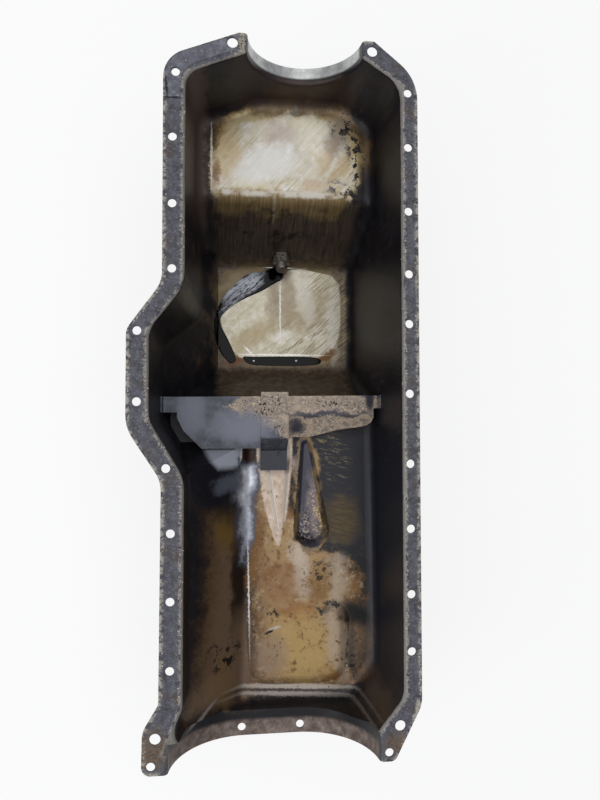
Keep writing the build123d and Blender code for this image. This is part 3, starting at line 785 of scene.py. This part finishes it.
def thread_radius(along, angle):
    """Radius of the cut shank: a V with small flats, run out under the collar and at the tip."""
    turn = (along / PITCH - angle / math.tau) % 1
    cut = min(max(1.3 * (1 - abs(2 * turn - 1)) - 0.15, 0), 1)
    run_out = min(max((UNDER_COLLAR - 1.5 - along) / PITCH, 0), 1)
    tip = SHANK_RADIUS - TIP_CHAMFER + (along - SHANK_END)
    return min(SHANK_RADIUS - THREAD_DEPTH * cut * run_out, tip)


mesh = bmesh.new()
mesh.from_mesh(nodes["drain_plug"].data)
bmesh.ops.remove_doubles(mesh, verts=mesh.verts, dist=1e-6)
shank = [vert for vert in mesh.verts
         if (1000 * vert.co - centre).dot(axis) < UNDER_COLLAR - 0.5]
bmesh.ops.delete(mesh, geom=shank, context="VERTS")
bmesh.ops.holes_fill(mesh, edges=[edge for edge in mesh.edges if edge.is_boundary], sides=0)
row_count = round((UNDER_COLLAR - SHANK_END) / PITCH * ROWS_PER_PITCH)
angles = [math.tau * step / ROUND_STEPS for step in range(ROUND_STEPS)]
rings = []
for row in range(row_count + 1):
    along = SHANK_END + (UNDER_COLLAR - SHANK_END) * row / row_count
    rings.append([mesh.verts.new(on_plug(along, thread_radius(along, a), a)) for a in angles])
for low, high in zip(rings, rings[1:]):
    for step in range(ROUND_STEPS):
        after = (step + 1) % ROUND_STEPS
        mesh.faces.new([low[step], low[after], high[after], high[step]]).smooth = True
for ring, along in ((rings[0], SHANK_END), (rings[-1], UNDER_COLLAR)):
    middle = mesh.verts.new(on_plug(along, 0, 0))
    for step in range(ROUND_STEPS):
        mesh.faces.new([ring[step], ring[(step + 1) % ROUND_STEPS], middle])
bmesh.ops.recalc_face_normals(mesh, faces=mesh.faces)
data = bpy.data.meshes.new("threaded_drain_plug")
mesh.to_mesh(data)
open_edges = sum(edge.is_boundary for edge in mesh.edges)
print("the plug has", len(data.polygons), "faces and", open_edges, "open edges")
mesh.free()
data.materials.append(plug["material"])
threaded_plug = placed("threaded_drain_plug", data)
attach(threaded_plug, "plug")
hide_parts("drain_plug")

# %% [markdown]
# ## Gasket left on the rail
#
# Cork and fibre gaskets soak up oil and turn grey-blue. Scraping left one strip of it at the
# rear left corner, with crumbled edges.

# %% Gasket fibre
gasket = start_finish("oil_soaked_gasket_fibre")
film(gasket, 1.0, tone(gasket, "mottle", ["#4c4c54", "#5e5f69", "#787983"]), 0.85, 0.0)
film(gasket, above(gasket, "speckle", 0.58, 0.68), "#8d8a88", 0.9)
marks_and_glints(gasket, [("#0f0f12", 0.9, None, (-112, 277.5), (12, 0.8), 2, 0.6),
                    ("#1a1a1e", 0.9, None, (-118, 288), (0.8, 9), 4, 0.6)])
relief(gasket, "speckle", 0.2)
finish(gasket, "gasket_remnant")

# %% [markdown]
# ## Crumbs and specks
#
# Scraping leaves crumbs of gasket along the rail's edges, and sludge dries to black specks on
# the floors. Both are hundreds of tiny lumps strewn over a surface, so one Geometry Nodes tree
# strews them: it scatters points over a patch, drops them straight down on the pan, keeps the
# ones in clumps, and puts a flattened lump on each.

# %% The strewing tree
FALL = 0.25                    # metres that a point may drop
LEAST_LEVEL = 0.6              # upward part of the normal where a lump can lie
CLUMPS_PER_METRE = 60.0
WOBBLES_PER_METRE, WOBBLE = 900.0, 0.0007


def make_strewing_tree():
    """Strews flattened lumps on the pan under a patch. Sizes are in metres."""
    tree = bpy.data.node_groups.new("strew_lumps", "GeometryNodeTree")
    sockets = {"Patch": "Geometry", "Pan": "Object", "Density": "Float", "Smallest": "Float",
               "Largest": "Float", "Clumping": "Float", "Seed": "Int", "Finish": "Material"}
    for label, kind in sockets.items():
        tree.interface.new_socket(name=label, in_out="INPUT", socket_type="NodeSocket" + kind)
    tree.interface.new_socket(name="Lumps", in_out="OUTPUT", socket_type="NodeSocketGeometry")
    given = add(tree, "NodeGroupInput")
    points = add(tree, "GeometryNodeDistributePointsOnFaces", {
        "Mesh": given["Patch"], "Density": given["Density"], "Seed": given["Seed"]})["Points"]
    pan = add(tree, "GeometryNodeObjectInfo", {"Object": given["Pan"]})["Geometry"]
    place = add(tree, "GeometryNodeInputPosition")[0]
    fall = add(tree, "GeometryNodeRaycast", {
        "Target Geometry": pan, "Source Position": place, "Ray Direction": (0, 0, -1),
        "Ray Length": FALL})
    clumps = add(tree, "ShaderNodeTexNoise", {
        "Vector": place, "Scale": CLUMPS_PER_METRE, "Detail": 2.0})[0]
    kept = add(tree, "FunctionNodeCompare", {"A": clumps, "B": given["Clumping"]},
               data_type="FLOAT", operation="GREATER_THAN")[0]
    upward = add(tree, "ShaderNodeSeparateXYZ", {0: fall["Hit Normal"]})[2]
    level = add(tree, "FunctionNodeCompare", {"A": upward, "B": LEAST_LEVEL}, data_type="FLOAT",
                operation="GREATER_THAN")[0]
    chosen = add(tree, "FunctionNodeBooleanMath", {0: kept, 1: level}, operation="AND")[0]
    chosen = add(tree, "FunctionNodeBooleanMath", {0: chosen, 1: fall["Is Hit"]},
                 operation="AND")[0]
    landed = add(tree, "GeometryNodeSetPosition", {
        "Geometry": points, "Position": fall["Hit Position"]})
    lump = add(tree, "GeometryNodeMeshIcoSphere", {"Radius": 1.0, "Subdivisions": 2})["Mesh"]
    size = add(tree, "FunctionNodeRandomValue", {2: given["Smallest"], 3: given["Largest"],
                                                 "Seed": given["Seed"]}, data_type="FLOAT")[1]
    longer = add(tree, "FunctionNodeRandomValue", {0: (0.7, 0.7, 0.25), 1: (1.7, 1.2, 0.4)},
                 data_type="FLOAT_VECTOR")[0]
    scale = add(tree, "ShaderNodeVectorMath", {0: longer, "Scale": size}, operation="SCALE")[0]
    spin = add(tree, "FunctionNodeRandomValue", {0: (0, 0, 0), 1: (0.2, 0.2, 2 * math.pi)},
               data_type="FLOAT_VECTOR")[0]
    spin = add(tree, "FunctionNodeEulerToRotation", {0: spin})[0]
    lumps = add(tree, "GeometryNodeInstanceOnPoints", {
        "Points": landed[0], "Selection": chosen, "Instance": lump, "Rotation": spin,
        "Scale": scale})
    solid = add(tree, "GeometryNodeRealizeInstances", {0: lumps[0]})
    wobble = add(tree, "ShaderNodeTexNoise", {
        "Vector": place, "Scale": WOBBLES_PER_METRE, "Detail": 1.0})[1]
    wobble = add(tree, "ShaderNodeVectorMath", {0: wobble, 1: (0.5, 0.5, 0.5)},
                 operation="SUBTRACT")[0]
    wobble = add(tree, "ShaderNodeVectorMath", {0: wobble, "Scale": WOBBLE}, operation="SCALE")
    uneven = add(tree, "GeometryNodeSetPosition", {"Geometry": solid[0], "Offset": wobble[0]})
    painted = add(tree, "GeometryNodeSetMaterial", {
        "Geometry": uneven[0], "Material": given["Finish"]})
    add(tree, "NodeGroupOutput", {0: painted[0]})
    return tree


strewing = make_strewing_tree()


# %% Strewing a patch
def ribbon(rows, side, near, far, height):
    """A strip along one side of a field: near and far are its mm to the right of the edge."""
    points = [(row[side] + shift, row[0]) for row in rows for shift in (near, far)]
    quads = [(2 * n, 2 * n + 1, 2 * n + 3, 2 * n + 2) for n in range(len(rows) - 1)]
    return [(x * 0.001, y * 0.001, height) for x, y in points], quads


def strew(name, strips, density, sizes, clumping, seed, material):
    """Runs the strewing tree over some strips and keeps the lumps as a plain mesh piece."""
    points, quads = [], []
    for strip_points, strip_quads in strips:
        quads += [tuple(len(points) + corner for corner in quad) for quad in strip_quads]
        points += strip_points
    patch = bpy.data.meshes.new(name + "_patch")
    patch.from_pydata(points, [], quads)
    holder = placed(name + "_patch", patch)
    modifier = holder.modifiers.new("strew", "NODES")
    modifier.node_group = strewing
    values = {"Pan": nodes["pan_shell"], "Density": density, "Smallest": sizes[0] * 0.001,
              "Largest": sizes[1] * 0.001, "Clumping": clumping, "Seed": seed, "Finish": material}
    for item in strewing.interface.items_tree:
        if item.name in values:
            modifier[item.identifier] = values[item.name]
    strewn = holder.evaluated_get(bpy.context.evaluated_depsgraph_get())
    made = bpy.data.meshes.new_from_object(strewn)
    bpy.data.objects.remove(holder)
    for vertex in made.vertices:                 # no lump hangs over the rail's edge
        vertex.co = [min(max(c, low), high) for c, low, high in zip(vertex.co, *cad_box)]
    piece = placed(name, made)
    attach(piece, "pan")
    print(name, "has", len(made.polygons), "faces")


def plain_finish(name, size, stops, roughness):
    """A matt crumb or speck finish: a noise of one size in mm between some colours."""
    kit = start_finish(name)
    film(kit, 1.0, tone(kit, size, stops), roughness, 0.0)
    relief(kit, "grain", 0.1)
    finish(kit)
    return kit["material"]


crumb_fibre = plain_finish("scraped_gasket_crumbs", "speckle",
                           ["#6f6a64", "#969088", "#bdb7ae"], 0.9)
sludge = plain_finish("baked_oil_sludge", "speckle", ["#0c0a0b", "#15110f", "#2b2018"], 0.5)

OVER_RAIL, OVER_FLOORS = 0.004, -0.02      # metres: points fall from here
edges = [ribbon(rows[1:-1], side, near, far, OVER_RAIL) for rows, side, near, far in (
    (rail_outer, 1, 0.8, 3.4), (rail_outer, 2, -3.4, -0.8),
    (rail_inner, 1, -4.5, -0.6), (rail_inner, 2, 0.6, 4.5))]
strew("rail_crumbs", edges, 330000, (0.3, 1.0), 0.52, 3, crumb_fibre)
floor_rows = [(-312, -100, 96), (-60, -90, 96)]
right_patch = [(232, 64, 90), (300, 60, 90)]
floors = [ribbon(floor_rows, 1, 0, 190, OVER_FLOORS), ribbon(right_patch, 1, 0, 26, OVER_FLOORS)]
strew("floor_specks", floors, 26000, (0.2, 0.75), 0.58, 5, sludge)

# %% [markdown]
# ## The last oil
#
# What the drain left stands as a thin black film at the low edges of the sump. Its edge is
# round because oil wets steel. The pool is a fine grid dropped on the floor: the oil's depth
# grows from its outline, and where it is less than nothing the grid hides inside the steel, so
# the edge that shows is smooth.

# %% Pouring the pools
def from_outline(x, y, outline):
    """Distance in mm from an outline, positive inside."""
    inside, nearest = False, 1e9
    for (x1, y1), (x2, y2) in zip(outline, outline[1:] + outline[:1]):
        run, rise = x2 - x1, y2 - y1
        share = max(0.0, min(1.0, ((x - x1) * run + (y - y1) * rise) / (run * run + rise * rise)))
        nearest = min(nearest, math.hypot(x - x1 - share * run, y - y1 - share * rise))
        if (y1 > y) != (y2 > y) and x < x1 + (y - y1) * run / rise:
            inside = not inside
    return nearest if inside else -nearest


def rounded(outline, rounds=3):
    """Cuts the corners of a closed outline until it is smooth."""
    for _ in range(rounds):
        outline = [(a[0] + share * (b[0] - a[0]), a[1] + share * (b[1] - a[1]))
                   for a, b in zip(outline, outline[1:] + outline[:1]) for share in (0.25, 0.75)]
    return outline


FROM_HEIGHT = -0.12        # the grid is dropped from here, under the baffle
SUMP_HEIGHT = -0.16        # what it hits higher than this isn't the sump's floor
UNDER_STEEL = 0.0009       # how deep the pool's own bottom is hidden
HIDDEN_RIM = 1.6           # mm of the grid kept outside the outline, under the steel
WETTING = 1.5              # mm over which the oil's edge rises
pan_mesh = nodes["pan_shell"].data
pan_tree = BVHTree.FromPolygons([v.co for v in pan_mesh.vertices],
                                [tuple(p.vertices) for p in pan_mesh.polygons])


def pour(name, outline, deepest, step, material):
    """A closed film of oil on the sump's floor inside an outline, in mm."""
    low = [min(point[n] for point in outline) - 2 for n in (0, 1)]
    high = [max(point[n] for point in outline) + 2 for n in (0, 1)]
    count = [int((high[n] - low[n]) / step) + 1 for n in (0, 1)]
    mesh = bmesh.new()
    spots = {}
    for column in range(count[0]):
        for row in range(count[1]):
            x, y = low[0] + column * step, low[1] + row * step
            inward = from_outline(x, y, outline)
            start = Vector((x * 0.001, y * 0.001, FROM_HEIGHT))
            hit = pan_tree.ray_cast(start, Vector((0, 0, -1)))[0]
            if inward > -HIDDEN_RIM and hit and hit.z < SUMP_HEIGHT:
                rise = deepest * (1 - math.exp(-inward / WETTING))
                depth = rise if inward > 0 else 0.3 * inward
                top = mesh.verts.new((hit.x, hit.y, hit.z + depth * 0.001))
                bottom = mesh.verts.new((hit.x, hit.y, hit.z - UNDER_STEEL))
                spots[column, row] = (top, bottom)
    for column, row in spots:
        ring = [spots.get((column + a, row + b)) for a, b in ((0, 0), (1, 0), (1, 1), (0, 1))]
        if all(ring):
            mesh.faces.new([spot[0] for spot in ring])
            mesh.faces.new([spot[1] for spot in reversed(ring)])
    pairs = dict(spots.values())
    for edge in [edge for edge in mesh.edges if edge.is_boundary]:
        first, second = edge.verts
        if first in pairs and second in pairs:
            loop = edge.link_loops[0]
            first, second = loop.vert, loop.link_loop_next.vert
            mesh.faces.new([second, first, pairs[first], pairs[second]])
    bmesh.ops.delete(mesh, geom=[v for v in mesh.verts if not v.link_faces], context="VERTS")
    for face in mesh.faces:
        face.smooth = True
    data = bpy.data.meshes.new(name)
    mesh.to_mesh(data)
    mesh.free()
    data.materials.append(material)
    piece = placed(name, data)
    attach(piece, "pan")
    print(name, "has", len(data.polygons), "faces")


oil = start_finish("used_black_oil")
film(oil, 1.0, "#050406", 0.1, 0.0)
# painted reflections on the oil: streaks of the pale sky, and two small highlights on the front
# pool
sky = streaks(oil, (9, 1.6, 9), 38, 3.0)
patches(oil, soft_ellipse(oil, (-42, 139), (23, 10), 40, 0.6), sky, 0.34, 0.56, "#c6cad4", 0.2)
patches(oil, soft_ellipse(oil, (-58, 118), (17, 4), 52, 0.6), sky, 0.4, 0.62, "#9a9da5", 0.2)
for centre in ((-29, 50), (23, 50.5)):
    film(oil, soft_ellipse(oil, centre, (1.1, 0.9), 0, 0.3, "mm"), "#e8e8ea", 0.2)
relief(oil, "mottle", 0.5)
finish(oil, shine=0.15)
edge_oil = [(0, 170), (-12, 161), (-25, 159), (-38, 157), (-51, 144), (-65, 131), (-71, 118),
            (-77, 100), (-77, 85), (-74, 69), (-66, 54), (-56, 45), (-50, 50), (-52, 58), (-60, 76),
            (-67, 88), (-71, 100), (-62, 112), (-41, 126), (-18, 136), (-3, 146), (11, 154)]
front_oil = [(-44, 56), (-38, 47), (-28, 44), (48, 44), (56, 51), (48, 55), (28, 56), (-33, 55)]
pour("left_oil_pool", rounded(edge_oil), 0.7, 1.4, oil["material"])
pour("front_oil_pool", rounded(front_oil, 2), 0.6, 1.2, oil["material"])
